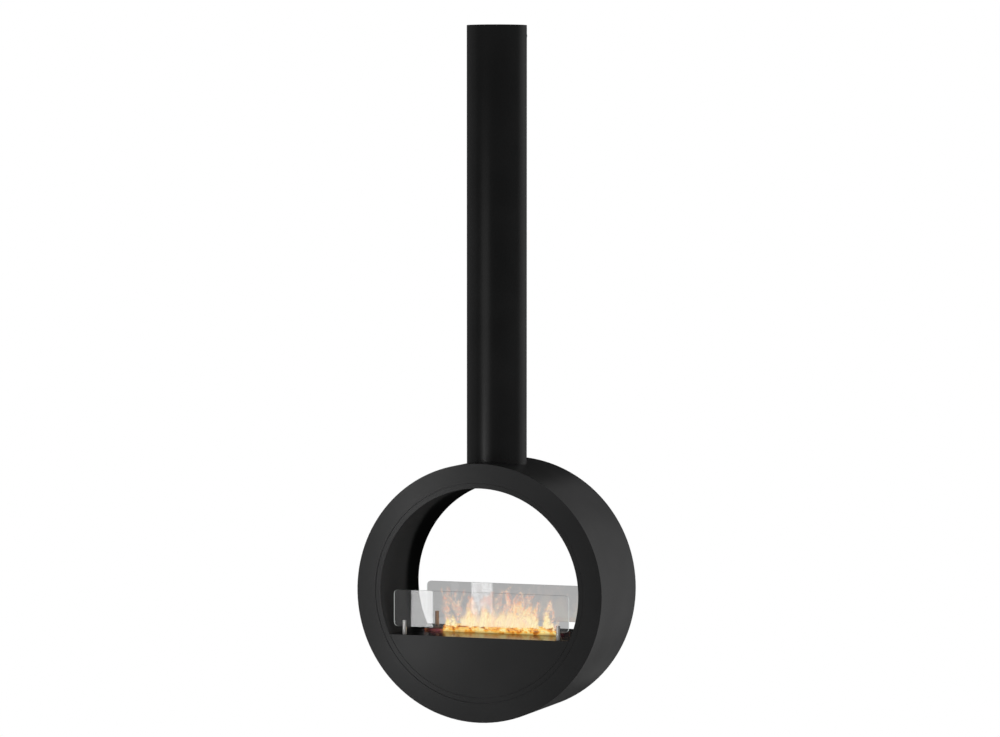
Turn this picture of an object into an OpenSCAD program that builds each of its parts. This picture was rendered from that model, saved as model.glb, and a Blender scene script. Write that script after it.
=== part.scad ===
// Hanging ring fireplace with a lift-out fuel burner.
// Frame: origin at the centre of the ceiling plate's top face, +Z up, front of the ring towards -Y.
// All sizes are in millimetres.

/* [Ring] */
// Outer diameter of the ring
ring_d = 741; // [720:1:780]
// Depth of the ring from front face to rear face
ring_depth = 312; // [300:1:360]
// Diameter of the opening through the ring
hole_d = 600; // [580:1:600]
// Thickness of the rolled outer shell and of the opening's liner
sheet_t = 2.5; // [2:0.5:4]
// Thickness of each flat face ring
face_t = 4; // [3.5:0.5:6]
// Width of the narrow lip around the opening, seam included
lip_w = 15; // [12:0.5:20]
// Depth of the lip below the face
lip_recess = 1.6; // [0.5:0.1:2]
// Gap of the seam between face and lip
seam_gap = 0.8; // [0.3:0.1:1.5]

/* [Hearth] */
// Distance of the shelf's top below the centre of the ring
shelf_drop = 127; // [110:0.5:140]
// Thickness of the shelf
shelf_t = 2; // [1.5:0.5:3]
// Gap of the seam between lip and lower panel
panel_gap = 0.7; // [0.3:0.1:1]
// Depth of the lower panel below the lip
panel_recess = 0.4; // [0:0.1:0.4]

/* [Burner] */
// Length of the burner's top plate
burner_l = 428; // [420:1:450]
// Width of the burner's top plate
burner_w = 56; // [50:1:70]
// Depth of the burner below the shelf's top
burner_h = 62; // [50:1:80]
// Height of the burner's folded rim above the shelf's top
rim_h = 7; // [4:0.5:12]
// Length of the mouth that the flames leave
mouth_l = 344; // [200:1:380]
// Width of the mouth
mouth_w = 38; // [20:1:40]
// Thickness of the top plate
plate_t = 1.5; // [1:0.5:3]

/* [Glass] */
// Length of each glass pane
glass_l = 530; // [500:1:532]
// Height of each glass pane
glass_h = 105; // [80:0.5:120]
// Thickness of each glass pane
glass_t = 5; // [4:0.5:6]
// Radius of the pane's corners
glass_corner_r = 12; // [5:1:20]
// Gap between the shelf and the lower edge of the pane
glass_lift = 22.5; // [15:0.5:30]
// Distance of each pane from the middle of the ring's depth
glass_y = 134; // [120:1:138]
// Diameter of the slotted posts
post_d = 12; // [11:1:14]
// Height of the slotted posts
post_h = 40; // [35:0.5:50]
// Distance of the posts from the middle of the pane
post_x = 233.5; // [228:0.5:236]

/* [Hanging] */
// Overall height from the ceiling to the bottom of the ring
total_h = 1990; // [1500:10:3000]
// Outer diameter of the hanging pipe
pipe_d = 172.5; // [160:0.5:180]
// Wall of the hanging pipe
pipe_t = 2; // [1.5:0.5:3]
// Circle that the four ceiling anchor holes lie on
anchor_pcd = 110; // [90:1:120]
// Diameter of each ceiling anchor hole
anchor_hole_d = 11; // [9:0.5:13]

/* [Hidden] */
$fn = 96;

eps = 0.01;                                   // overshoot of cutting tools
fit = 0.2;                                    // radial play of parts that slip into each other
steel_black = [0.16, 0.16, 0.165];
steel_dark = [0.25, 0.25, 0.26];
zinc = [0.66, 0.67, 0.69];
stainless = [0.74, 0.73, 0.71];

// Ring
ring_r = ring_d / 2;
hole_r = hole_d / 2;
half_depth = ring_depth / 2;
ring_z = ring_r - total_h;                    // centre of the ring
inner_y = half_depth - face_t;                // back of face ring, lip ring and panel alike
face_inner_r = hole_r + lip_w;
lip_outer_r = face_inner_r - seam_gap;
lip_t = face_t - lip_recess;
liner_r = hole_r + sheet_t;                   // outside of the liner
backing_t = 2;
backing_outer_r = face_inner_r + 25;
backing_strip = 12;                           // overlap behind the edge of the lower panel

// Hearth
shelf_z = -shelf_drop;                        // top of the shelf, from the ring's centre
shelf_under = shelf_z - shelf_t;
panel_r = hole_r - panel_gap;
panel_t = lip_t - panel_recess;
angle_leg = 15;
angle_t = 2;
angle_l = 440;
bearer_x = 264;                               // outer side of each bearer
bearer_w = 20;

// Burner: casing and tank hang from the underside of the top plate
plate_under = shelf_z + rim_h - plate_t;
plate_wall = 1.5;
casing_l = burner_l - 16;
casing_w = burner_w - 8;
tank_play = 1.5;                              // air gap between casing and tank
tank_l = casing_l - 2 * (plate_wall + tank_play);
tank_w = casing_w - 2 * (plate_wall + tank_play);
tank_wall = 1;
tank_floor = shelf_z - burner_h + plate_wall + tank_play;
wool_play = 0.5;
wool_drop = 10;                               // top of the wool below the shelf's top
cutout_play = 1.5;
cutout_l = casing_l + 2 * cutout_play;
cutout_w = casing_w + 2 * cutout_play;
tray_play = 6;
tray_l = cutout_l + 2 * tray_play;
tray_w = cutout_w + 2 * tray_play;
tray_h = burner_h + 12;
tray_t = 1.2;
tray_ear = 16;
tray_screw_x = tray_l / 2 + tray_ear / 2;
tray_screw_y = 18;

// Posts
slot_play = 0.3;
slot_w = glass_t + 2 * slot_play;
pad_t = 1;
pad_l = 8;
post_bore_depth = 12;
post_screw_r = 3;

// Hanging
pipe_r = pipe_d / 2;
bore_r = pipe_r - pipe_t;
ceiling_t = 6;
collar_r = bore_r - fit;
collar_t = 5;
collar_h = 42;
pipe_screw_z = -30;
pipe_screw_angles = [35, 90, 145];            // all on the rear half of the pipe
foot_h = 14;                                  // thickness of the saddle foot over the ring's crown
foot_top = ring_r + foot_h;                   // flat seat of the hanger bolts, from the ring's centre
saddle_cut = 20;                              // the pipe's lower edge stays above this depth under the crown
block_w = 140;
block_drop = 18;                              // lowest point of the load block below the shell's crown
hanger_pcd = 110;
hanger_r = 5;                                 // M10
washer_t = 2;

// ---------------------------------------------------------------- helpers

// Moves children to the centre of the ring.
module at_ring() { translate([0, 0, ring_z]) children(); }

// Solid round bar along Y from y0 to y1.
module disc_y(r, y0, y1) { translate([0, y1, 0]) rotate([90, 0, 0]) cylinder(h = y1 - y0, r = r); }

// Flat or long ring along Y from y0 to y1.
module ring_y(r_out, r_in, y0, y1) {
    difference() {
        disc_y(r_out, y0, y1);
        disc_y(r_in, y0 - eps, y1 + eps);
    }
}

// Box given by its centre in X and Y and by its lower and upper level.
module slab(l, w, z0, z1) { translate([-l / 2, -w / 2, z0]) cube([l, w, z1 - z0]); }

// Everything below a level, as a cutting tool.
module below(level) { slab(3 * ring_r, 3 * ring_r, level - 2 * ring_r, level); }

// Turns a front piece into its rear twin.
module rear() { mirror([0, 1, 0]) children(); }

// Four copies on a circle, at 45 degrees to the axes.
module on_circle(pcd) {
    for (a = [45:90:315]) rotate([0, 0, a]) translate([pcd / 2, 0, 0]) children();
}

// Four copies at the corners of a rectangle.
module on_corners(x, y) {
    for (sx = [-1, 1], sy = [-1, 1]) translate([sx * x, sy * y, 0]) children();
}

// Clearance holes for the hanger bolts, through saddle foot and shell.
module hanger_holes() {
    on_circle(hanger_pcd) translate([0, 0, ring_r - saddle_cut])
        cylinder(h = 2 * saddle_cut, r = hanger_r + 0.5);
}

// Screw standing on z = 0 with its shank downwards and a socketed round head above.
module socket_screw(shank_r, shank_l, head_r, head_h, key_r) {
    difference() {
        union() {
            translate([0, 0, -shank_l]) cylinder(h = shank_l, r = shank_r);
            cylinder(h = head_h, r = head_r);
        }
        translate([0, 0, head_h * 0.45]) cylinder(h = head_h, r = key_r, $fn = 6);
    }
}

// ---------------------------------------------------------------- hanging

module ceiling_plate() {
    color(steel_dark) difference() {
        translate([0, 0, -ceiling_t]) cylinder(h = ceiling_t, r = collar_r);
        on_circle(anchor_pcd) translate([0, 0, -ceiling_t - eps])
            cylinder(h = ceiling_t + 2 * eps, r = anchor_hole_d / 2);
    }
}

module pipe_screw_frames() {
    for (a = pipe_screw_angles) rotate([0, 0, a]) translate([pipe_r, 0, pipe_screw_z])
        rotate([0, 90, 0]) children();
}

module collar_ring() {
    color(steel_dark) difference() {
        translate([0, 0, -ceiling_t - collar_h]) cylinder(h = collar_h, r = collar_r);
        translate([0, 0, -ceiling_t - collar_h - eps])
            cylinder(h = collar_h + 2 * eps, r = collar_r - collar_t);
        pipe_screw_frames() translate([0, 0, -20]) cylinder(h = 20, r = 2.55);
    }
}

module hanger_pipe() {
    pipe_h = total_h - ring_d + saddle_cut;
    color(steel_black) difference() {
        translate([0, 0, -pipe_h]) cylinder(h = pipe_h, r = pipe_r);
        translate([0, 0, -pipe_h - eps]) cylinder(h = pipe_h + 2 * eps, r = bore_r);
        at_ring() disc_y(ring_r, -half_depth, half_depth);
        pipe_screw_frames() translate([0, 0, -20]) cylinder(h = 20 + eps, r = 2.7);
    }
}

module pipe_screws() {
    color(zinc) pipe_screw_frames() socket_screw(2.5, pipe_t + collar_t, 4.75, 2.8, 1.7);
}

module saddle_foot() {
    color(steel_dark) at_ring() difference() {
        translate([0, 0, ring_r - saddle_cut]) cylinder(h = foot_h + saddle_cut, r = bore_r - fit);
        disc_y(ring_r, -half_depth, half_depth);
        hanger_holes();
    }
}

module hanger_washers() {
    color(zinc) at_ring() on_circle(hanger_pcd) translate([0, 0, foot_top]) difference() {
        cylinder(h = washer_t, r = 10);
        translate([0, 0, -eps]) cylinder(h = washer_t + 2 * eps, r = hanger_r + 0.25);
    }
}

module hanger_bolts() {
    bolt_l = foot_top + washer_t - (ring_r - sheet_t - block_drop);
    color(zinc) at_ring() on_circle(hanger_pcd) translate([0, 0, foot_top + washer_t])
        socket_screw(hanger_r, bolt_l, 8, 10, 4);
}

module load_block() {
    crown = ring_r - sheet_t;
    color(steel_dark) at_ring() difference() {
        intersection() {
            slab(block_w, block_w, crown - block_drop, crown + 1);
            disc_y(crown, -half_depth, half_depth);
        }
        on_circle(hanger_pcd) translate([0, 0, crown - block_drop - eps])
            cylinder(h = block_drop + 2, r = hanger_r + 0.05);
    }
}

// ---------------------------------------------------------------- ring

module drum_shell() {
    color(steel_black) at_ring() difference() {
        ring_y(ring_r, ring_r - sheet_t, -inner_y, inner_y);
        hanger_holes();
    }
}

module face_ring() { ring_y(ring_r, face_inner_r, -half_depth, -inner_y); }

module front_face_ring() { color(steel_black) at_ring() face_ring(); }

module rear_face_ring() { color(steel_black) at_ring() rear() face_ring(); }

module lip_ring() { ring_y(lip_outer_r, hole_r, lip_recess - half_depth, -inner_y); }

module front_lip_ring() { color(steel_black) at_ring() lip_ring(); }

module rear_lip_ring() { color(steel_black) at_ring() rear() lip_ring(); }

// Plate behind face ring, lip ring and panel that joins the three.
module backing_ring() {
    ring_y(backing_outer_r, liner_r, -inner_y, backing_t - inner_y);
    intersection() {
        ring_y(liner_r, hole_r - backing_strip, -inner_y, backing_t - inner_y);
        below(shelf_under);
    }
}

module front_backing_ring() { color(steel_dark) at_ring() backing_ring(); }

module rear_backing_ring() { color(steel_dark) at_ring() rear() backing_ring(); }

module tunnel_liner() {
    color(steel_black) at_ring() difference() {
        ring_y(liner_r, hole_r, -inner_y, inner_y);
        below(shelf_under);
    }
}

// ---------------------------------------------------------------- hearth

module hearth_shelf() {
    color(steel_black) at_ring() difference() {
        intersection() {
            slab(ring_d, 2 * inner_y, shelf_under, shelf_z);
            disc_y(hole_r, -inner_y, inner_y);
        }
        slab(cutout_l, cutout_w, shelf_under - eps, shelf_z + eps);
        on_corners(post_x, glass_y) translate([0, 0, shelf_under - eps])
            cylinder(h = shelf_t + 2 * eps, r = post_screw_r + 0.2);
        on_corners(tray_screw_x, tray_screw_y) translate([0, 0, shelf_under - eps])
            cylinder(h = shelf_t + 2 * eps, r = 2.05);
    }
}

module panel() {
    intersection() {
        disc_y(panel_r, -inner_y - panel_t, -inner_y);
        below(shelf_z);
    }
}

module front_panel() { color(steel_black) at_ring() panel(); }

module rear_panel() { color(steel_black) at_ring() rear() panel(); }

// Angle that ties the panel's upper edge to the shelf.
module panel_angle() {
    translate([-angle_l / 2, -inner_y, shelf_under - angle_leg]) cube([angle_l, angle_t, angle_leg]);
    translate([-angle_l / 2, -inner_y, shelf_under - angle_t]) cube([angle_l, angle_leg, angle_t]);
}

module front_panel_angle() { color(steel_dark) at_ring() panel_angle(); }

module rear_panel_angle() { color(steel_dark) at_ring() rear() panel_angle(); }

// Angles under both ends of the shelf, from one backing ring to the other.
module shelf_bearers() {
    bearer_l = 2 * (inner_y - backing_t);
    color(steel_dark) at_ring() for (side = [0, 1]) mirror([side, 0, 0]) {
        translate([bearer_x - bearer_w, -bearer_l / 2, shelf_under - angle_t])
            cube([bearer_w, bearer_l, angle_t]);
        translate([bearer_x - angle_t, -bearer_l / 2, shelf_under - bearer_w])
            cube([angle_t, bearer_l, bearer_w]);
    }
}

module drip_tray() {
    color(stainless) at_ring() difference() {
        union() {
            slab(tray_l + 2 * tray_t, tray_w + 2 * tray_t, shelf_z - tray_h, shelf_under);
            slab(tray_l + 2 * tray_ear, tray_w, shelf_under - tray_t, shelf_under);
        }
        slab(tray_l, tray_w, shelf_z - tray_h + tray_t, shelf_under + eps);
        on_corners(tray_screw_x, tray_screw_y) translate([0, 0, shelf_under - 2 * tray_t])
            cylinder(h = 3 * tray_t, r = 2.2);
    }
}

module tray_screws() {
    color(zinc) at_ring() on_corners(tray_screw_x, tray_screw_y)
        translate([0, 0, shelf_under - tray_t]) mirror([0, 0, 1])
            socket_screw(2, tray_t + shelf_t, 3.8, 2.2, 1.2);
}

// ---------------------------------------------------------------- burner

// Top plate with its rim folded down on to the shelf.
module burner_plate() {
    color(stainless) at_ring() difference() {
        slab(burner_l, burner_w, shelf_z, shelf_z + rim_h);
        slab(burner_l - 2 * plate_t, burner_w - 2 * plate_t, shelf_z - eps, plate_under);
        slab(mouth_l, mouth_w, shelf_z, shelf_z + rim_h + eps);
    }
}

// Open box hanging from the underside of the top plate.
module open_box(l, w, floor_z, wall) {
    difference() {
        slab(l, w, floor_z, plate_under);
        slab(l - 2 * wall, w - 2 * wall, floor_z + wall, plate_under + eps);
    }
}

module burner_casing() {
    color(stainless) at_ring() open_box(casing_l, casing_w, shelf_z - burner_h, plate_wall);
}

module fuel_tank() { color(stainless) at_ring() open_box(tank_l, tank_w, tank_floor, tank_wall); }

module ceramic_wool() {
    wool_inset = 2 * (tank_wall + wool_play);
    color([0.93, 0.92, 0.88]) at_ring()
        slab(tank_l - wool_inset, tank_w - wool_inset, tank_floor + tank_wall, shelf_z - wool_drop);
}

// ---------------------------------------------------------------- glass

// Post with a slot for the pane, open at the top and on both sides.
module glass_post(sx, sy) {
    slot_z = shelf_z + glass_lift - pad_t;
    color(stainless) at_ring() translate([sx * post_x, sy * glass_y, 0]) difference() {
        translate([0, 0, shelf_z]) cylinder(h = post_h, d = post_d);
        slab(2 * post_d, slot_w, slot_z, shelf_z + post_h + 1);
        translate([0, 0, shelf_z - eps]) cylinder(h = post_bore_depth, r = post_screw_r + 0.05);
    }
}

module glass_post_front_left() { glass_post(-1, -1); }

module glass_post_front_right() { glass_post(1, -1); }

module glass_post_rear_left() { glass_post(-1, 1); }

module glass_post_rear_right() { glass_post(1, 1); }

module post_screws() {
    color(zinc) at_ring() on_corners(post_x, glass_y) translate([0, 0, shelf_under]) mirror([0, 0, 1])
        socket_screw(post_screw_r, shelf_t + post_bore_depth - 1, 5.25, 3.3, 2);
}

module glass_pads() {
    color([0.08, 0.08, 0.08]) at_ring() on_corners(post_x, glass_y)
        slab(pad_l, glass_t, shelf_z + glass_lift - pad_t, shelf_z + glass_lift);
}

module pane() {
    pane_z = shelf_z + glass_lift;
    r = glass_corner_r;
    translate([0, -glass_y, pane_z]) union() {
        slab(glass_l - 2 * r, glass_t, 0, glass_h);
        slab(glass_l, glass_t, r, glass_h - r);
        for (sx = [-1, 1], z = [r, glass_h - r]) translate([sx * (glass_l / 2 - r), 0, z])
            disc_y(r, -glass_t / 2, glass_t / 2);
    }
}

module glass_front() { color([0.75, 0.8, 0.8, 0.35]) at_ring() pane(); }

module glass_rear() { color([0.75, 0.8, 0.8, 0.35]) at_ring() rear() pane(); }

// ---------------------------------------------------------------- nodes

ceiling_plate();
collar_ring();
hanger_pipe();
pipe_screws();
saddle_foot();
hanger_washers();
hanger_bolts();
load_block();
drum_shell();
front_face_ring();
rear_face_ring();
front_lip_ring();
rear_lip_ring();
front_backing_ring();
rear_backing_ring();
tunnel_liner();
hearth_shelf();
front_panel();
rear_panel();
front_panel_angle();
rear_panel_angle();
shelf_bearers();
drip_tray();
tray_screws();
burner_plate();
burner_casing();
fuel_tank();
ceramic_wool();
glass_post_front_left();
glass_post_front_right();
glass_post_rear_left();
glass_post_rear_right();
post_screws();
glass_pads();
glass_front();
glass_rear();
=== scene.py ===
"""Looks of the hanging ring fireplace: finishes, wool, flames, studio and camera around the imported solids."""
import math
import random
import bpy
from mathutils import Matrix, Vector, noise


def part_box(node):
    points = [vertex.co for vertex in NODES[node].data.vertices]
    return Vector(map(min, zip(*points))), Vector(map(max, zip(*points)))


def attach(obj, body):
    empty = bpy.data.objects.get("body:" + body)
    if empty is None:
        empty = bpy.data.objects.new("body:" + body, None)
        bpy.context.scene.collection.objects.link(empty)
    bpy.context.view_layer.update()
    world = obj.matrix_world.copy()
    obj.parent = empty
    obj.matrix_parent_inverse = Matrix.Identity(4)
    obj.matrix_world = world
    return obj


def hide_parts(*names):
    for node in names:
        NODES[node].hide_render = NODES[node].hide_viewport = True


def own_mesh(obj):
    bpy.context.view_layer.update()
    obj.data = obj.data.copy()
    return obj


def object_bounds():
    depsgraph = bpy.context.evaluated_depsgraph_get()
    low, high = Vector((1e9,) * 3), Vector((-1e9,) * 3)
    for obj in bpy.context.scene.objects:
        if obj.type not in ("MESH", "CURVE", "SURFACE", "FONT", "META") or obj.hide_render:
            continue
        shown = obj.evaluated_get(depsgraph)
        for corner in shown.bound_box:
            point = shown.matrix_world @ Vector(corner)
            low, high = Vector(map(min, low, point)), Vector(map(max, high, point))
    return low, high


MM = 0.001

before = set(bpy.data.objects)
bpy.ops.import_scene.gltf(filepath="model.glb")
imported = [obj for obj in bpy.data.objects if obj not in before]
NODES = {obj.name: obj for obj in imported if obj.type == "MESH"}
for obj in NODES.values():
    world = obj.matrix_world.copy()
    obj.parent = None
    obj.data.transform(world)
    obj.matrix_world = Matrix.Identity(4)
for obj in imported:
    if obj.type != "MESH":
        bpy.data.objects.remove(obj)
cad_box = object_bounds()

# ---------------------------------------------------------------- places, from the frame

RING_LOW, RING_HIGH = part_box("drum_shell")
RING_CENTRE = (RING_LOW + RING_HIGH) / 2
SHELF_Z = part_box("hearth_shelf")[1].z
WOOL_LOW, WOOL_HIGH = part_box("ceramic_wool")

# ---------------------------------------------------------------- camera

# Fitted to the photograph's ring, pipe and shelf: place and reach in metres, sensor and lens in millimetres
CAMERA_FROM_RING = Vector((4.2363, -11.7611, 1.2850))
CAMERA_AZIMUTH = math.radians(19.767)
CAMERA_ELEVATION = math.radians(2.978)
CAMERA_SENSOR = 36
CAMERA_LENS = 156.69
CAMERA_SEES_TO = 200


def new_object(name, data):
    """A new object that is linked into the scene."""
    item = bpy.data.objects.new(name, data)
    bpy.context.scene.collection.objects.link(item)
    return item


def make_camera():
    data = bpy.data.cameras.new("camera")
    data.sensor_width = CAMERA_SENSOR
    data.lens = CAMERA_LENS
    data.clip_end = CAMERA_SEES_TO
    camera = new_object("camera", data)
    camera.location = RING_CENTRE + CAMERA_FROM_RING
    camera.rotation_euler = (math.pi / 2 - CAMERA_ELEVATION, 0, CAMERA_AZIMUTH)
    bpy.context.scene.camera = camera


# ---------------------------------------------------------------- node helpers


def add(tree, kind, sockets=None, **settings):
    """A new shader node; a socket's value is a number, a colour or the output that feeds it."""
    node = tree.nodes.new("ShaderNode" + kind)
    for key, value in settings.items():
        setattr(node, key, value)
    for key, value in (sockets or {}).items():
        if isinstance(value, bpy.types.NodeSocket):
            tree.links.new(value, node.inputs[key])
        else:
            node.inputs[key].default_value = value
    return node


def new_material(name):
    material = bpy.data.materials.new(name)
    material.use_nodes = True
    material.node_tree.nodes.clear()
    return material, material.node_tree


def finished(material, shader):
    """The material, with this shader node on its surface."""
    tree = material.node_tree
    output = tree.nodes.new("ShaderNodeOutputMaterial")
    tree.links.new(shader.outputs[0], output.inputs["Surface"])
    return material


def mix_shaders(tree, factor, first, second):
    return add(tree, "MixShader", {0: factor, 1: first.outputs[0], 2: second.outputs[0]})


def object_coords(tree, stretch=(1, 1, 1)):
    coords = add(tree, "TexCoord").outputs["Object"]
    return add(tree, "Mapping", {"Vector": coords, "Scale": stretch}).outputs["Vector"]


def axes(tree, vector):
    """The X, Y and Z of a vector, by name."""
    return add(tree, "SeparateXYZ", {"Vector": vector}).outputs


def noise_value(tree, vector, scale, detail, roughness=0.5, distortion=0.0):
    return add(tree, "TexNoise", {
        "Vector": vector, "Scale": scale, "Detail": detail,
        "Roughness": roughness, "Distortion": distortion}).outputs["Fac"]


def map_range(tree, value, low, high, to_low=0, to_high=1, smooth=False):
    """Carries low to high over to to_low to to_high, and stops at both ends."""
    sockets = {"Value": value, "From Min": low, "From Max": high, "To Min": to_low, "To Max": to_high}
    kind = "SMOOTHSTEP" if smooth else "LINEAR"
    return add(tree, "MapRange", sockets, interpolation_type=kind).outputs["Result"]


def spread(tree, noise_output, to_low=0, to_high=1):
    """Carries a noise, which mostly lies between 0.3 and 0.7, over to to_low to to_high."""
    return map_range(tree, noise_output, 0.3, 0.7, to_low, to_high)


def math_node(tree, operation, a, b=0.0):
    return add(tree, "Math", {0: a, 1: b}, operation=operation).outputs[0]


def plus(tree, a, b):
    return math_node(tree, "ADD", a, b)


def minus(tree, a, b):
    return math_node(tree, "SUBTRACT", a, b)


def times(tree, a, b):
    return math_node(tree, "MULTIPLY", a, b)


def size_of(tree, value):
    return math_node(tree, "ABSOLUTE", value)


def vector_math(tree, operation, a, b):
    return add(tree, "VectorMath", {0: a, 1: b}, operation=operation).outputs[0]


def blend_colours(tree, factor, low, high):
    """low where the factor is 0 and high where it is 1; each is a colour or the output that feeds it."""
    node = add(tree, "Mix", {"Factor": factor}, data_type="RGBA")
    for name, colour in (("A", low), ("B", high)):
        socket = next(s for s in node.inputs if s.name == name and s.type == "RGBA")
        if isinstance(colour, bpy.types.NodeSocket):
            tree.links.new(colour, socket)
        else:
            socket.default_value = (*colour, 1)
    return next(s for s in node.outputs if s.type == "RGBA")


def colour_ramp(tree, value, stops):
    """A colour that runs through (position, colour) stops as the value goes from 0 to 1."""
    node = add(tree, "ValToRGB", {"Fac": value})
    elements = node.color_ramp.elements
    while len(elements) < len(stops):
        elements.new(1)
    for element, (position, colour) in zip(elements, stops):
        element.position = position
        element.color = (*colour, 1)
    return node.outputs["Color"]


def bump(tree, height, strength, distance):
    sockets = {"Height": height, "Strength": strength, "Distance": distance}
    return add(tree, "Bump", sockets).outputs["Normal"]


# ---------------------------------------------------------------- finishes

COAT_BLACK = (0.0100, 0.0101, 0.0103)
COAT_BLACK_LIGHT = (0.0140, 0.0141, 0.0143)
# The pipe has the ring's powder coat painted darker, as painted shade
PIPE_PAINTED_SHADE = (0.0065, 0.0066, 0.0067)
PIPE_PAINTED_SHADE_LIGHT = (0.0095, 0.0096, 0.0097)
PRIMER_GREY = (0.050, 0.051, 0.053)
PRIMER_GREY_LIGHT = (0.066, 0.067, 0.069)
COAT_CLOUDS = 5.5
COAT_PEBBLES = 420
COAT_GRAIN = 1400
COAT_RELIEF = {"strength": 0.15, "distance": 0.08 * MM}
GRAIN_SHADE = 0.25
GRAIN_HEIGHT = 0.4
GLOSS_VARIES = 0.015


def powder_coat(name, dark=COAT_BLACK, light=COAT_BLACK_LIGHT, roughness=0.30, specular=0.28):
    """Matt powder coat: a fine pebbled skin, faint clouds in its colour and gloss."""
    material, tree = new_material(name)
    coords = object_coords(tree)
    clouds = noise_value(tree, coords, COAT_CLOUDS, detail=4)
    haze = noise_value(tree, coords, scale=9, detail=3)
    skin = noise_value(tree, coords, COAT_PEBBLES, detail=3)
    grain = noise_value(tree, coords, COAT_GRAIN, detail=2)
    colour = blend_colours(tree, spread(tree, clouds), dark, light)
    colour = blend_colours(tree, map_range(tree, grain, 0.35, 0.65, 0, GRAIN_SHADE), colour, light)
    height = plus(tree, times(tree, grain, GRAIN_HEIGHT), skin)
    return finished(material, add(tree, "BsdfPrincipled", {
        "Base Color": colour,
        "Roughness": spread(tree, haze, roughness - GLOSS_VARIES, roughness + GLOSS_VARIES),
        "Specular IOR Level": specular,
        "Normal": bump(tree, height, **COAT_RELIEF)}))


LINER_GREY = (0.0300, 0.0302, 0.0306)
LINER_GREY_LIGHT = (0.0340, 0.0342, 0.0346)
# The black of a shadow painted on the rear of the liner
LINER_PAINTED_SHADOW = (0.0006, 0.0006, 0.0006)
LINER_ROUGHNESS = 0.34
# Where the painted shadow on the liner starts to turn it black, over what depth, how that edge bends with
# height, per metre, and how far it wanders
LINER_SHADOW_FROM = 26 * MM
LINER_SHADOW_OVER = 52 * MM
LINER_SHADOW_BEND = 1.5
LINER_SHADOW_WANDER = 4 * MM


def heat_proof_coat_painted_shadow(name):
    """Matt heat-proof coat of the tunnel, grey black, with a painted shadow of dead black on its rear third."""
    material, tree = new_material(name)
    coords = object_coords(tree)
    clouds = noise_value(tree, coords, COAT_CLOUDS, detail=4)
    skin = noise_value(tree, coords, COAT_PEBBLES, detail=3)
    place = axes(tree, coords)
    above = minus(tree, place["Z"], RING_CENTRE.z)
    bend = times(tree, times(tree, above, above), LINER_SHADOW_BEND)
    wander = map_range(tree, clouds, 0, 1, -LINER_SHADOW_WANDER, LINER_SHADOW_WANDER)
    depth = plus(tree, plus(tree, place["Y"], bend), wander)
    # Painted shadow: the rear third turns black, reaching further forward higher up
    black = map_range(tree, depth, LINER_SHADOW_FROM, LINER_SHADOW_FROM + LINER_SHADOW_OVER, smooth=True)
    grey = blend_colours(tree, spread(tree, clouds), LINER_GREY, LINER_GREY_LIGHT)
    return finished(material, add(tree, "BsdfPrincipled", {
        "Base Color": blend_colours(tree, black, grey, LINER_PAINTED_SHADOW),
        "Roughness": LINER_ROUGHNESS,
        "Specular IOR Level": 0.01,
        "Normal": bump(tree, skin, **COAT_RELIEF)}))


PLATE_STEEL = (0.60, 0.58, 0.55)
POST_STEEL = (0.84, 0.83, 0.81)
# Copper colour of the rear posts: the fire's glow and reflection, painted on their steel
POST_PAINTED_FIRELIGHT = (1.0, 0.60, 0.38)
BRUSHED = 90  # how much narrower than long the brush lines are
BRUSH_RELIEF = {"strength": 0.18, "distance": 0.05 * MM}
BRUSH_SHADE = 0.86
BRUSH_GLOSS_VARIES = 0.06
SMEAR_DULLS = 0.05


def brush_lines(tree, along):
    stretch = [1 if axis == along else BRUSHED for axis in "xyz"]
    return noise_value(tree, object_coords(tree, stretch), scale=32, detail=3, roughness=0.6)


def brushed_steel(name, along, colour=PLATE_STEEL, roughness=0.28, metallic=1.0):
    """Stainless steel with fine brush lines along one axis; a blasted one is less metallic."""
    material, tree = new_material(name)
    lines = brush_lines(tree, along)
    smears = noise_value(tree, object_coords(tree), scale=28, detail=3)
    dark = tuple(BRUSH_SHADE * c for c in colour)
    gloss = spread(tree, lines, roughness - BRUSH_GLOSS_VARIES, roughness + BRUSH_GLOSS_VARIES)
    gloss = plus(tree, gloss, map_range(tree, smears, 0.4, 0.7, 0, SMEAR_DULLS))
    return finished(material, add(tree, "BsdfPrincipled", {
        "Base Color": blend_colours(tree, spread(tree, lines), dark, colour),
        "Metallic": metallic,
        "Roughness": gloss,
        "Normal": bump(tree, lines, **BRUSH_RELIEF)}))


# Firelight painted on the burner's plate starts to change from gold to maroon this far from its middle, over
# this length, and the place wanders by this much
FIRELIGHT_FROM = 150 * MM
FIRELIGHT_OVER = 64 * MM
FIRELIGHT_WANDER = 5 * MM
FIRELIGHT_TINTS = [(0.0, (0.70, 0.36, 0.07)), (0.12, (0.46, 0.15, 0.06)), (0.25, (0.22, 0.06, 0.07)),
         (1.0, (0.11, 0.035, 0.045))]
SCORCHED = (0.34, 0.12, 0.04)
LINE_SHADE = (0.10, 0.05, 0.05)


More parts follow.
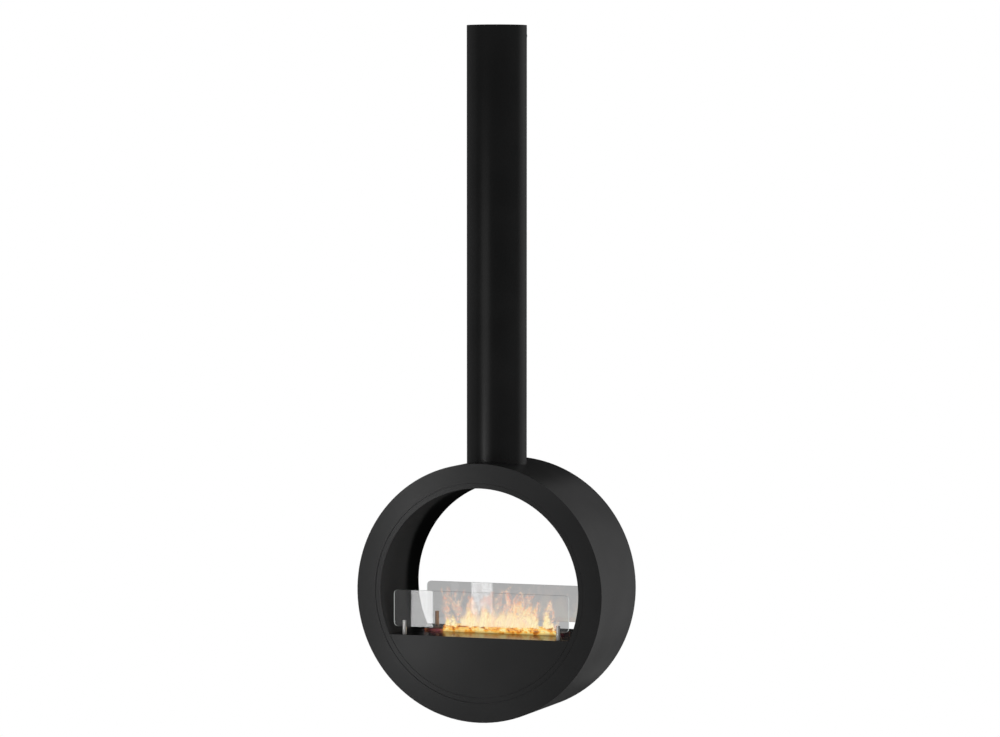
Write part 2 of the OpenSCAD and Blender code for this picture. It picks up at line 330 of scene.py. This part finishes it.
def steel_painted_firelight(name):
    """Brushed steel with painted firelight: gold by the flames, bronze and maroon at the burner's ends."""
    material, tree = new_material(name)
    coords = object_coords(tree)
    lines = brush_lines(tree, "x")
    blotches = noise_value(tree, coords, scale=40, detail=4)
    past = minus(tree, size_of(tree, axes(tree, coords)["X"]), FIRELIGHT_FROM)
    past = plus(tree, past, spread(tree, blotches, -FIRELIGHT_WANDER, FIRELIGHT_WANDER))
    # The fire's light and reflection, painted as a colour that changes with distance from the middle
    firelight = colour_ramp(tree, map_range(tree, past, 0, FIRELIGHT_OVER), FIRELIGHT_TINTS)
    shade = blend_colours(tree, map_range(tree, blotches, 0.52, 0.66, 0, 0.7), firelight, SCORCHED)
    shade = blend_colours(tree, spread(tree, lines, 0, 0.2), shade, LINE_SHADE)
    return finished(material, add(tree, "BsdfPrincipled", {
        "Base Color": shade,
        "Metallic": 1.0,
        "Roughness": spread(tree, lines, 0.22, 0.34),
        "Normal": bump(tree, lines, **BRUSH_RELIEF)}))


FAINT_RELIEF = {"strength": 0.1, "distance": 0.05 * MM}
ZINC_DARK = (0.46, 0.47, 0.49)
ZINC_LIGHT = (0.62, 0.63, 0.65)


def zinc_plate(name):
    """Bright zinc with the faint mottling of the bath."""
    material, tree = new_material(name)
    mottling = noise_value(tree, object_coords(tree), scale=260, detail=4)
    return finished(material, add(tree, "BsdfPrincipled", {
        "Base Color": blend_colours(tree, map_range(tree, mottling, 0.35, 0.65), ZINC_DARK, ZINC_LIGHT),
        "Metallic": 1.0,
        "Roughness": map_range(tree, mottling, 0.35, 0.65, 0.24, 0.38),
        "Normal": bump(tree, mottling, **FAINT_RELIEF)}))


RUBBER_BLACK = (0.022, 0.022, 0.022)
RUBBER_DUST = (0.040, 0.039, 0.038)


def silicone(name):
    """Matt black silicone with a little dust on it."""
    material, tree = new_material(name)
    dust = noise_value(tree, object_coords(tree), scale=600, detail=3)
    return finished(material, add(tree, "BsdfPrincipled", {
        "Base Color": blend_colours(tree, map_range(tree, dust, 0.4, 0.7), RUBBER_BLACK, RUBBER_DUST),
        "Roughness": spread(tree, dust, 0.55, 0.7),
        "Normal": bump(tree, dust, **FAINT_RELIEF)}))


FIBRE_DARK = (0.60, 0.57, 0.52)
FIBRE_LIGHT = (0.86, 0.84, 0.79)
FIBRE_SCORCHED = (0.30, 0.24, 0.19)


def ceramic_fibre(name):
    """Off-white fibre, tufted and scorched in places."""
    material, tree = new_material(name)
    coords = object_coords(tree)
    lengthwise = object_coords(tree, (1, 2.2, 1))
    fibres = noise_value(tree, lengthwise, scale=480, detail=5, roughness=0.7, distortion=1.4)
    tufts = noise_value(tree, coords, scale=90, detail=3)
    scorch = noise_value(tree, coords, scale=26, detail=3)
    colour = blend_colours(tree, spread(tree, fibres), FIBRE_DARK, FIBRE_LIGHT)
    colour = blend_colours(tree, map_range(tree, scorch, 0.55, 0.8, 0, 0.6), colour, FIBRE_SCORCHED)
    return finished(material, add(tree, "BsdfPrincipled", {
        "Base Color": colour,
        "Roughness": 0.95,
        "Specular IOR Level": 0.1,
        "Normal": bump(tree, plus(tree, fibres, tufts), strength=0.6, distance=0.6 * MM)}))


GLASS_FACE = (0.985, 0.985, 0.985)
GLASS_EDGE = (0.12, 0.16, 0.14)
GLASS_IOR = 1.5
FACES_OUT = 0.8  # what has less of its normal than this along Y is an edge of a pane, and not its face
EDGE_FROST = 0.22
EDGE_SOLID = 0.9
EDGE_PAINTED_GLOW = (0.95, 1.0, 0.98, 1)
EDGE_PAINTED_GLOW_STRENGTH = 0.60
TO_THE_LAMPS = (0.90, 0.91, 0.90, 1)


def clear_glass(name):
    """Toughened glass that lets the lamps through.

    Its ground edges are dark and frosted, and the upright ones among them have a faint painted glow.
    """
    material, tree = new_material(name)
    smudges = noise_value(tree, object_coords(tree), scale=9, detail=4)
    facing = axes(tree, add(tree, "NewGeometry").outputs["Normal"])
    edge = math_node(tree, "LESS_THAN", size_of(tree, facing["Y"]), FACES_OUT)
    # Painted glow on the upright edges of the panes, in place of light piped through the glass
    painted_glow = times(tree, edge, size_of(tree, facing["X"]))
    haze = map_range(tree, smudges, 0.5, 0.8, 0, 0.012)
    shader = add(tree, "BsdfPrincipled", {
        "Base Color": blend_colours(tree, edge, GLASS_FACE, GLASS_EDGE),
        "Roughness": math_node(tree, "MAXIMUM", haze, times(tree, edge, EDGE_FROST)),
        "IOR": GLASS_IOR,
        "Emission Color": EDGE_PAINTED_GLOW,
        "Emission Strength": times(tree, painted_glow, EDGE_PAINTED_GLOW_STRENGTH),
        "Transmission Weight": minus(tree, 1.0, times(tree, edge, EDGE_SOLID))})
    lamp_ray = add(tree, "LightPath").outputs["Is Shadow Ray"]
    open_way = add(tree, "BsdfTransparent", {"Color": TO_THE_LAMPS})
    return finished(material, mix_shaders(tree, lamp_ray, shader, open_way))


# ---------------------------------------------------------------- solids from the frame

WELD_WITHIN = 0.001 * MM
BEVELLED_FROM = math.radians(40)


def dress(names, material, bevel=0.0):
    """Puts a material on solids, and a fine bevel of this width on their sharp edges."""
    for name in names:
        node = NODES[name]
        node.data.materials.clear()
        node.data.materials.append(material)
        if bevel:
            weld = node.modifiers.new("weld", "WELD")
            weld.merge_threshold = WELD_WITHIN
            edges = node.modifiers.new("bevel", "BEVEL")
            edges.width = bevel
            edges.segments = 2
            edges.limit_method = "ANGLE"
            edges.angle_limit = BEVELLED_FROM
            edges.harden_normals = True


def dress_solids():
    coat = powder_coat("powder_coat")
    dress(["front_face_ring", "rear_face_ring", "drum_shell", "front_lip_ring", "rear_lip_ring"], coat)
    # A darker copy of the coat, as painted shade on the pipe
    dress(["hanger_pipe"], powder_coat("pipe_coat_painted_shade", PIPE_PAINTED_SHADE, PIPE_PAINTED_SHADE_LIGHT, specular=0.30))
    dress(["tunnel_liner"], heat_proof_coat_painted_shadow("heat_proof_coat_painted_shadow"))
    dress(["front_panel", "rear_panel"], coat, bevel=0.25 * MM)
    dress(["hearth_shelf"], powder_coat("shelf_coat", roughness=0.22), bevel=0.25 * MM)
    dress(["ceiling_plate", "collar_ring", "saddle_foot", "load_block", "front_backing_ring",
           "rear_backing_ring", "front_panel_angle", "rear_panel_angle", "shelf_bearers"],
          powder_coat("primer", PRIMER_GREY, PRIMER_GREY_LIGHT, roughness=0.6), bevel=0.3 * MM)
    dress(["burner_plate"], steel_painted_firelight("plate_painted_firelight"), bevel=0.2 * MM)
    dress(["burner_casing", "fuel_tank", "drip_tray"], brushed_steel("brushed_plate", "x"), bevel=0.2 * MM)
    dress(["glass_post_front_left", "glass_post_front_right"],
          brushed_steel("brushed_bar", "z", POST_STEEL, roughness=0.36, metallic=0.7), bevel=0.3 * MM)
    # The rear posts are the same steel, painted copper as painted firelight
    dress(["glass_post_rear_left", "glass_post_rear_right"],
          brushed_steel("bar_painted_firelight", "z", POST_PAINTED_FIRELIGHT, roughness=0.36, metallic=0.3), bevel=0.3 * MM)
    dress(["pipe_screws", "hanger_washers", "hanger_bolts", "tray_screws", "post_screws"],
          zinc_plate("zinc"), bevel=0.2 * MM)
    dress(["glass_pads"], silicone("silicone"))
    dress(["glass_front", "glass_rear"], clear_glass("clear_glass"), bevel=0.6 * MM)


# ---------------------------------------------------------------- wool


def new_piece(name, points, faces, material, uvs=None):
    """A smooth mesh; uvs holds one place for each point."""
    mesh = bpy.data.meshes.new(name)
    mesh.from_pydata(points, [], faces)
    if uvs:
        layer = mesh.uv_layers.new(name="UVMap")
        for loop in mesh.loops:
            layer.data[loop.index].uv = uvs[loop.vertex_index]
    mesh.polygons.foreach_set("use_smooth", [True] * len(mesh.polygons))
    mesh.materials.append(material)
    return new_object(name, mesh)


WOOL_INSET = Vector((0.4, 0.4, 0.0)) * MM  # how far it stays inside its solid on each side
WOOL_STATIONS = 150
WOOL_AROUND = 44
WOOL_SQUARE = 6  # 2 would make its section an ellipse
WOOL_BLUNT = 40  # the higher, the shorter the rounding at its two ends
WOOL_TUFTS = 0.9 * MM
WOOL_DENTS = 3.2 * MM


def wool_point(t, angle, half):
    """A point of the wool's skin about its middle; t is -1 to 1 along it, and half is half its size."""
    end = (1 - abs(t) ** WOOL_BLUNT) ** 0.25 if abs(t) < 1 else 0.0
    c, d = math.cos(angle), math.sin(angle)
    round_off = (abs(c) ** WOOL_SQUARE + abs(d) ** WOOL_SQUARE) ** (-1 / WOOL_SQUARE)
    y = half.y * end * c * round_off
    z = half.z * end * d * round_off
    at = Vector((t * half.x, y, z))
    tuft = 0.5 + 0.5 * noise.fractal(130 * at + Vector((0, 0, 9)), 0.9, 2.1, 3)
    dent = max(0.0, d) ** 2 * (0.5 + 0.5 * noise.noise(28 * at + Vector((4, 2, 0))))
    pull = max(0.0, min(1.0, tuft)) * WOOL_TUFTS
    return Vector((at.x, y * (1 - pull / half.y), z * (1 - pull / half.z) - WOOL_DENTS * dent))


def make_wool():
    """The block of ceramic fibre in the tank: rounded, tufted and dented on top, in its solid's place."""
    middle = (WOOL_LOW + WOOL_HIGH) / 2
    half = (WOOL_HIGH - WOOL_LOW) / 2 - WOOL_INSET
    points = [middle + wool_point(2 * i / WOOL_STATIONS - 1, 2 * math.pi * j / WOOL_AROUND, half)
              for i in range(WOOL_STATIONS + 1) for j in range(WOOL_AROUND)]
    faces = []
    for first in range(0, WOOL_STATIONS * WOOL_AROUND, WOOL_AROUND):
        for j in range(WOOL_AROUND):
            here, there = first + j, first + (j + 1) % WOOL_AROUND
            faces.append((here, there, there + WOOL_AROUND, here + WOOL_AROUND))
    wool = new_piece("wool_block", points, faces, ceramic_fibre("ceramic_fibre"))
    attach(wool, "burner")
    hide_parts("ceramic_wool")


# ---------------------------------------------------------------- fire

# Colours of fire from its coolest to its hottest, as (heat, colour)
BED_COLOURS = [(0.08, (0.30, 0.09, 0.015)), (0.26, (0.68, 0.22, 0.030)), (0.44, (0.95, 0.38, 0.050)),
               (0.66, (1.0, 0.60, 0.12)), (0.92, (1.0, 0.84, 0.34))]
BODY_COLOURS = [(0.05, (0.95, 0.38, 0.20)), (0.28, (1.0, 0.58, 0.32)), (0.55, (1.0, 0.78, 0.43)),
                (0.95, (1.0, 0.88, 0.53))]
HAZE_COLOURS = [(0.10, (1.0, 0.58, 0.46)), (0.50, (1.0, 0.74, 0.54)), (0.90, (1.0, 0.84, 0.56))]
WISP_COLOURS = [(0.15, (0.78, 0.33, 0.24)), (0.45, (0.98, 0.50, 0.36)), (0.85, (1.0, 0.78, 0.54))]
JET_COLOURS = [(0.10, (1.0, 0.55, 0.10)), (0.45, (1.0, 0.78, 0.22)), (0.85, (1.0, 0.94, 0.60))]
TALLEST_FLAME = 145 * MM
FLAME_ROOT = 3 * MM  # how far below its foot a tongue starts, and below the shelf all fire is clear
CURTAIN_ROOT = 4 * MM
SWIRL_SCALE = 34
TORN_BY_RISE = 0.22  # how much more a fire is torn at the height of the tallest flame
FOLD_WIDTH = 0.045
WHOLE_WITHIN = 0.30  # share of a sheet's half width within which its sides don't fade
SHEETS_SEEN_THROUGH = 64


def swirled(tree, coords, by):
    """Coordinates that curl as rising gas does, by up to half of by, in metres."""
    curl = add(tree, "TexNoise", {"Vector": coords, "Scale": SWIRL_SCALE, "Detail": 2}).outputs["Color"]
    curl = vector_math(tree, "SUBTRACT", curl, (0.5, 0.5, 0.5))
    curl = vector_math(tree, "MULTIPLY", curl, (by, by, by))
    return vector_math(tree, "ADD", coords, curl)


def soft_outline(tree, tip_from):
    """1 inside a sheet, down to 0 at its sides and, from the share tip_from of its height, at its tip."""
    place = axes(tree, add(tree, "TexCoord").outputs["UV"])
    side = size_of(tree, map_range(tree, place["X"], 0, 1, -1, 1))
    soft_side = map_range(tree, side, 1.0, WHOLE_WITHIN, smooth=True)
    soft_tip = map_range(tree, place["Y"], 1.0, tip_from, smooth=True)
    return times(tree, soft_side, soft_tip)


def fire(name, colours, strength, density, streaks, tear, heat, cooling,
         tip_from=0.45, swirl_by=0.04, rims=0.0, core=0.0, foot_high=0.0):
    """Flame on thin sheets: a glow whose colour follows its heat, torn by rising streaks, clear at its edges.

    streaks are the scale and the stretch of its noise, tear the noise at which it is clear and at which it
    is dense, heat the mean and spread of its heat, cooling what it loses up to the tallest tip, tip_from the
    share of a sheet's height above which it fades, swirl_by how far it curls in metres, rims the density of
    its folds, core how much hotter its dense middle is than its thin edges, and foot_high how far above the
    shelf it is whole. Under the shelf it is clear, so a fire that is squashed down there has gone out.
    """
    material, tree = new_material(name)
    scale, stretch = streaks
    coords = object_coords(tree)
    warped = swirled(tree, coords, swirl_by)
    stretched = add(tree, "Mapping", {"Vector": warped, "Scale": (1, 1, stretch)}).outputs["Vector"]
    wisps = noise_value(tree, stretched, scale, detail=4, roughness=0.6)
    patches = noise_value(tree, warped, 0.7 * scale, detail=3, roughness=0.55)
    height = axes(tree, coords)["Z"]
    rise = map_range(tree, height, SHELF_Z, SHELF_Z + TALLEST_FLAME)

    outline = soft_outline(tree, tip_from)
    torn = map_range(tree, minus(tree, wisps, times(tree, rise, TORN_BY_RISE)), *tear, smooth=True)
    fold = map_range(tree, size_of(tree, minus(tree, wisps, 0.5)), FOLD_WIDTH, 0.0, 0, rims, smooth=True)
    body = math_node(tree, "MAXIMUM", times(tree, torn, density), fold)
    foot = map_range(tree, height, SHELF_Z - FLAME_ROOT, SHELF_Z + foot_high)
    alpha = times(tree, times(tree, body, outline), foot)

    mean, varies = heat
    warmth = spread(tree, patches, mean - varies, mean + varies)
    warmth = minus(tree, warmth, times(tree, rise, cooling))
    warmth = plus(tree, warmth, map_range(tree, times(tree, torn, outline), 0, 1, -core, core))
    light = add(tree, "Emission", {"Color": colour_ramp(tree, warmth, colours), "Strength": strength})
    return finished(material, mix_shaders(tree, alpha, add(tree, "BsdfTransparent"), light))


# Tongues of fire seen in the photograph, in mm: place along the mouth from its middle, foot and tip above the
# shelf, half width, and how far the tip leans to the right
BODIES = [
    (-148, 0, 46, 16, 4), (-128, 0, 58, 20, -6), (-106, 0, 52, 18, 6), (-90, 0, 94, 19, 8),
    (-68, 0, 68, 22, -6), (-40, 0, 92, 27, 8), (-16, 0, 78, 25, -8), (8, 0, 76, 26, 16), (30, 0, 88, 25, 18),
    (52, 0, 112, 26, 12), (70, 0, 122, 23, -8), (90, 0, 104, 24, 14), (108, 0, 98, 19, 14),
    (120, 0, 60, 14, 14), (146, 0, 58, 14, 4), (156, 0, 98, 14, 10), (168, 0, 40, 9, -4),
]
WISPS = [
    (-150, 8, 84, 18, -10), (-148, 56, 136, 12, -12), (-132, 60, 112, 13, -18), (-118, 30, 134, 12, 8),
    (-86, 44, 112, 16, 12), (-66, 40, 104, 14, -12), (-38, 44, 118, 17, 8), (-12, 50, 126, 14, -12),
    (4, 64, 134, 18, 22), (22, 56, 122, 14, 24), (42, 56, 144, 13, -4), (58, 60, 130, 17, 14),
    (76, 56, 126, 17, 16), (100, 54, 126, 15, 6), (116, 40, 104, 14, 24), (150, 34, 100, 15, 6),
    (166, 24, 112, 10, 10), (178, 4, 46, 9, 6),
]
JETS = [
    (-148, 0, 46, 9, 2), (-128, 0, 34, 8, -3), (-90, 0, 72, 10, 8), (-60, 0, 34, 10, 3), (-20, 0, 36, 11, -4),
    (18, 0, 40, 11, 4), (52, 0, 38, 10, 5), (88, 0, 34, 9, -5), (150, 0, 66, 9, 3), (162, 0, 38, 8, 4),
]
# Long sheets of fire, in mm: left and right end, depth from the mouth's middle, and height. The last of the
# curtains spills over the burner's front rim, and the hazes hang between the bodies
CURTAINS = [
    (-160, 172, -15, 18), (-160, 172, -7, 19), (-160, 172, 0, 20), (-160, 172, 7, 21), (-160, 172, 15, 22),
    (-156, 196, -30, 15),
]
HAZES = [(-112, 112, -8, 72), (-106, 118, 3, 80), (-118, 106, 11, 66)]
FLAME_SEED = 7
TONGUE_COLUMNS = 8
TONGUE_ROWS = 26
# Limits of what is drawn at random for a tongue: its share of the listed height, its twist in radians, its
# curl, how far off the mouth's middle line it stands, in mm, and how far its sheets turn, in degrees
TONGUE_SHORTEST = 0.92
TONGUE_TWIST = 0.6
TONGUE_CURL = 0.5
TONGUE_OFF_LINE = 9
TONGUE_TURN = 8
TONGUE_WOBBLE = 0.55
LEAN_CURVE = 1.6  # 1 would lean a tongue straight from its foot
SWAY_WAVES = 0.9
DEPTH_SWAY = 0.05
DEPTH_WAVES = 0.7
CURTAIN_COLUMNS = 120
CURTAIN_ROWS = 10
CURTAIN_WAVE = 1.5 * MM
WAVES_PER_METRE = 30
TEETH_PER_METRE = 60


def pointed_share(v):
    """Half width of a tongue that runs to a point, at a share v of its height."""
    return (1 - v) ** 0.7 * (0.7 + 2.8 * v * (1 - v))


def billowing_share(v):
    """Half width of a full body of flame, blunt at its ragged top."""
    return (1 - v ** 2.4) ** 0.8


def flying_share(v):
    """Half width of a wisp that thins out at both ends."""
    return (4 * v * (1 - v)) ** 0.6 * (1.1 - 0.4 * v)


def tongue_sheet(tongue, y, turn, share, sway, draw):
    """Points and UVs of one upright sheet of a tongue: swaying, curled, and wobbly at its sides."""
    x, foot, tip, half_width, lean = (value * MM for value in tongue)
    tall = (tip - foot) * draw.uniform(TONGUE_SHORTEST, 1)
    phase = draw.random()
    seed = draw.uniform(0, 100)
    twist = draw.uniform(-TONGUE_TWIST, TONGUE_TWIST)
    curl = draw.uniform(-TONGUE_CURL, TONGUE_CURL)
    points = []
    uvs = []
    for row in range(TONGUE_ROWS + 1):
        v = row / TONGUE_ROWS
        along = lean * v ** LEAN_CURVE + sway * tall * v * math.sin(2 * math.pi * (SWAY_WAVES * v + phase))
        depth = DEPTH_SWAY * tall * v * math.sin(2 * math.pi * (DEPTH_WAVES * v + 1.7 * phase))
        heading = turn + twist * v
        for column in range(TONGUE_COLUMNS + 1):
            u = 2 * column / TONGUE_COLUMNS - 1
            wobble = 1 + TONGUE_WOBBLE * noise.noise(Vector((5.0 * v, 2.0 * math.copysign(1, u), seed)))
            reach = u * half_width * share(v) * wobble
            bow = curl * reach * abs(u)
            points.append((x + along + reach * math.cos(heading) - bow * math.sin(heading),
                           y + depth + reach * math.sin(heading) + bow * math.cos(heading),
                           SHELF_Z + foot - FLAME_ROOT + v * (tall + FLAME_ROOT)))
            uvs.append(((u + 1) / 2, v))
    return points, uvs, TONGUE_COLUMNS, TONGUE_ROWS


def tongue_sheets(tongues, draw, turns, share, sway):
    """Sheets of every tongue, one for each of the turns in degrees."""
    sheets = []
    for tongue in tongues:
        y = draw.uniform(-TONGUE_OFF_LINE, TONGUE_OFF_LINE) * MM
        for turn in turns:
            heading = math.radians(turn + draw.uniform(-TONGUE_TURN, TONGUE_TURN))
            sheets.append(tongue_sheet(tongue, y, heading, share, sway, draw))
    return sheets


def curtain(place, draw, ragged=0.14, taper=41):
    """Points and UVs of one long wavy sheet.

    ragged is how much its height varies, and a high taper keeps it dense almost to its ends.
    """
    left, right, y, height = (value * MM for value in place)
    seed = draw.uniform(0, 100)
    points = []
    uvs = []
    for row in range(CURTAIN_ROWS + 1):
        v = row / CURTAIN_ROWS
        for column in range(CURTAIN_COLUMNS + 1):
            s = 2 * column / CURTAIN_COLUMNS - 1
            x = (left + right) / 2 + s * (right - left) / 2
            top = height * (1 + ragged * noise.noise(Vector((x * TEETH_PER_METRE, seed, 0))))
            wave = CURTAIN_WAVE * noise.noise(Vector((x * WAVES_PER_METRE, seed, 2.2 * v)))
            points.append((x, y + wave, SHELF_Z - CURTAIN_ROOT + v * (top + CURTAIN_ROOT)))
            uvs.append(((math.copysign(abs(s) ** taper, s) + 1) / 2, v))
    return points, uvs, CURTAIN_COLUMNS, CURTAIN_ROWS


def grid_faces(columns, rows, first):
    """Faces of a grid whose points start at first and run along each row of columns + 1 points."""
    wide = columns + 1
    corners = [first + row * wide + column for row in range(rows) for column in range(columns)]
    return [(corner, corner + 1, corner + 1 + wide, corner + wide) for corner in corners]


def join_sheets(name, sheets, material):
    """One piece of many sheets."""
    points = []
    faces = []
    uvs = []
    for sheet_points, sheet_uvs, columns, rows in sheets:
        faces += grid_faces(columns, rows, len(points))
        points += sheet_points
        uvs += sheet_uvs
    return new_piece(name, points, faces, material, uvs)


def make_flames():
    """Five pieces of fire that ride on the burner and go out when it is lifted."""
    draw = random.Random(FLAME_SEED)
    bed = [curtain(place, draw) for place in CURTAINS]
    bodies = tongue_sheets(BODIES, draw, turns=(0, 58, -58), share=billowing_share, sway=0.08)
    haze = [curtain(place, draw, ragged=0.55, taper=5) for place in HAZES]
    jets = tongue_sheets(JETS, draw, turns=(0, 75), share=pointed_share, sway=0.05)
    wisps = tongue_sheets(WISPS, draw, turns=(8, 66), share=flying_share, sway=0.16)
    pieces = [
        join_sheets("flame_bed", bed, fire(
            "fire_bed", BED_COLOURS, strength=1.05, density=0.97, streaks=(75, 0.9), tear=(0.0, 0.18),
            heat=(0.80, 0.70), cooling=3.2, tip_from=0.85, foot_high=10 * MM)),
        join_sheets("flame_jets", jets, fire(
            "fire_jets", JET_COLOURS, strength=1.10, density=0.80, streaks=(80, 0.4), tear=(0.12, 0.40),
            heat=(0.70, 0.35), cooling=0.9)),
        join_sheets("flame_haze", haze, fire(
            "fire_haze", HAZE_COLOURS, strength=1.06, density=0.55, streaks=(44, 0.9), tear=(0.05, 0.45),
            heat=(0.80, 0.40), cooling=0.70, tip_from=0.35, swirl_by=0.06)),
        join_sheets("flame_bodies", bodies, fire(
            "fire_bodies", BODY_COLOURS, strength=1.06, density=0.80, streaks=(66, 0.80), tear=(0.30, 0.50),
            heat=(0.75, 0.38), cooling=0.50, tip_from=0.50, swirl_by=0.095, rims=0.85, core=0.24)),
        join_sheets("flame_wisps", wisps, fire(
            "fire_wisps", WISP_COLOURS, strength=1.15, density=0.30, streaks=(80, 0.90), tear=(0.38, 0.62),
            heat=(0.75, 0.50), cooling=0.20, tip_from=0.8, swirl_by=0.120, rims=0.85)),
    ]
    for piece in pieces:
        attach(piece, "burner")
        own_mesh(piece)


# ---------------------------------------------------------------- studio

FLOOR_DROP = 0.42
FLOOR_RADIUS = 40
FLOOR_CORNERS = 96
FLOOR_PAINT = (0.60, 0.60, 0.60)
FLOOR_IN_GLOSS = (0.10, 0.10, 0.10)
WHITE = (1, 1, 1, 1)
# The floor's paint starts to fade this far out, and past this distance it is all backdrop
FADES_FROM = 1.1
WHITE_PAST = 2.2
# How bright the backdrop is to the camera, through glass, in gloss, and as light on the object
SEEN_BY_CAMERA = 1.0
SEEN_THROUGH_GLASS = 0.445
SEEN_IN_GLOSS = 0.02
AMBIENT = 0.80


def backdrop_level(tree):
    """How bright the backdrop is: plain white to the camera, a studio grey through glass and in gloss."""
    rays = add(tree, "LightPath").outputs
    straight = math_node(tree, "LESS_THAN", rays["Glossy Depth"], 0.5)
    through_glass = times(tree, rays["Is Transmission Ray"], straight)
    level = AMBIENT
    for kind, seen in ((rays["Is Glossy Ray"], SEEN_IN_GLOSS), (through_glass, SEEN_THROUGH_GLASS),
                       (rays["Is Camera Ray"], SEEN_BY_CAMERA)):
        level = add(tree, "Mix", {"Factor": kind, "A": level, "B": seen}).outputs["Result"]
    return level


def floor_finish():
    """Pale paint near the object that takes its shadow, and fades into the backdrop further out."""
    material, tree = new_material("floor")
    distance = add(tree, "VectorMath", {0: object_coords(tree)}, operation="LENGTH").outputs["Value"]
    away = map_range(tree, distance, FADES_FROM, WHITE_PAST, smooth=True)
    in_gloss = add(tree, "LightPath").outputs["Is Glossy Ray"]
    paint = add(tree, "BsdfDiffuse", {"Color": blend_colours(tree, in_gloss, FLOOR_PAINT, FLOOR_IN_GLOSS)})
    backdrop = add(tree, "Emission", {"Color": WHITE, "Strength": backdrop_level(tree)})
    return finished(material, mix_shaders(tree, away, paint, backdrop))


def make_floor():
    turns = [2 * math.pi * k / FLOOR_CORNERS for k in range(FLOOR_CORNERS)]
    rim = [(FLOOR_RADIUS * math.cos(turn), FLOOR_RADIUS * math.sin(turn), 0) for turn in turns]
    mesh = bpy.data.meshes.new("floor")
    mesh.from_pydata(rim, [], [list(range(FLOOR_CORNERS))])
    mesh.materials.append(floor_finish())
    floor = new_object("floor", mesh)
    floor.location = (0, 0, cad_box[0][2] - FLOOR_DROP)


def make_world():
    world = bpy.data.worlds.new("studio")
    bpy.context.scene.world = world
    world.use_nodes = True
    tree = world.node_tree
    tree.nodes.clear()
    background = add(tree, "Background", {"Color": WHITE, "Strength": backdrop_level(tree)})
    output = tree.nodes.new("ShaderNodeOutputWorld")
    tree.links.new(background.outputs[0], output.inputs["Surface"])


# Soft boxes and white boards: name, place from the ring's centre, facing, width, height, radiance, and the
# kinds of ray that see it. The fills that only diffuse rays see light the sides and back, but not the gloss
CARDS = [
    ("key", (-0.9, -1.8, 0.2), (0, 1, 0), 1.2, 1.9, 0.8, "diffuse glossy"),
    ("left_fill", (-1.8, 0.0, 0.6), (1, 0, 0), 1.8, 2.8, 0.13, "diffuse glossy"),
    ("rear_fill", (0.0, 3.2, 0.3), (0, -1, 0), 6.0, 4.2, 1.3, "diffuse"),
    ("right_fill", (3.2, 0.4, 0.3), (-1, 0, 0), 4.2, 4.2, 0.9, "diffuse"),
    ("left_side_fill", (-3.2, 0.4, 0.3), (1, 0, 0), 4.2, 4.2, 0.5, "diffuse"),
    ("right_rear_board", (1.5, 1.2, 0.6), (0, -1, 0), 1.8, 2.7, 0.36, "glossy"),
    ("right_rear_edge", (0.41, 1.2, 0.6), (0, -1, 0), 0.6, 2.7, 0.16, "glossy"),
    ("left_rear_board", (-1.5, 1.2, 0.7), (0, -1, 0), 1.8, 2.9, 0.07, "glossy"),
    ("strip", (-0.47, -0.9, 0.05), (0, 1, 0), 0.07, 0.8, 5.0, "glossy transmission"),
]


def make_cards():
    for name, place, facing, width, height, radiance, seen_by in CARDS:
        data = bpy.data.lights.new(name, "AREA")
        data.shape = "RECTANGLE"
        data.size = width
        data.size_y = height
        data.energy = math.pi * width * height * radiance
        card = new_object(name, data)
        card.location = RING_CENTRE + Vector(place)
        card.rotation_euler = Vector(facing).to_track_quat("-Z", "Y").to_euler()
        card.visible_camera = False
        card.visible_diffuse = "diffuse" in seen_by
        card.visible_glossy = "glossy" in seen_by
        card.visible_transmission = "transmission" in seen_by


# ---------------------------------------------------------------- scene

bpy.context.scene.view_settings.view_transform = "Standard"
bpy.context.scene.cycles.transparent_max_bounces = SHEETS_SEEN_THROUGH
make_camera()
make_world()
make_floor()
make_cards()
dress_solids()
make_wool()
make_flames()
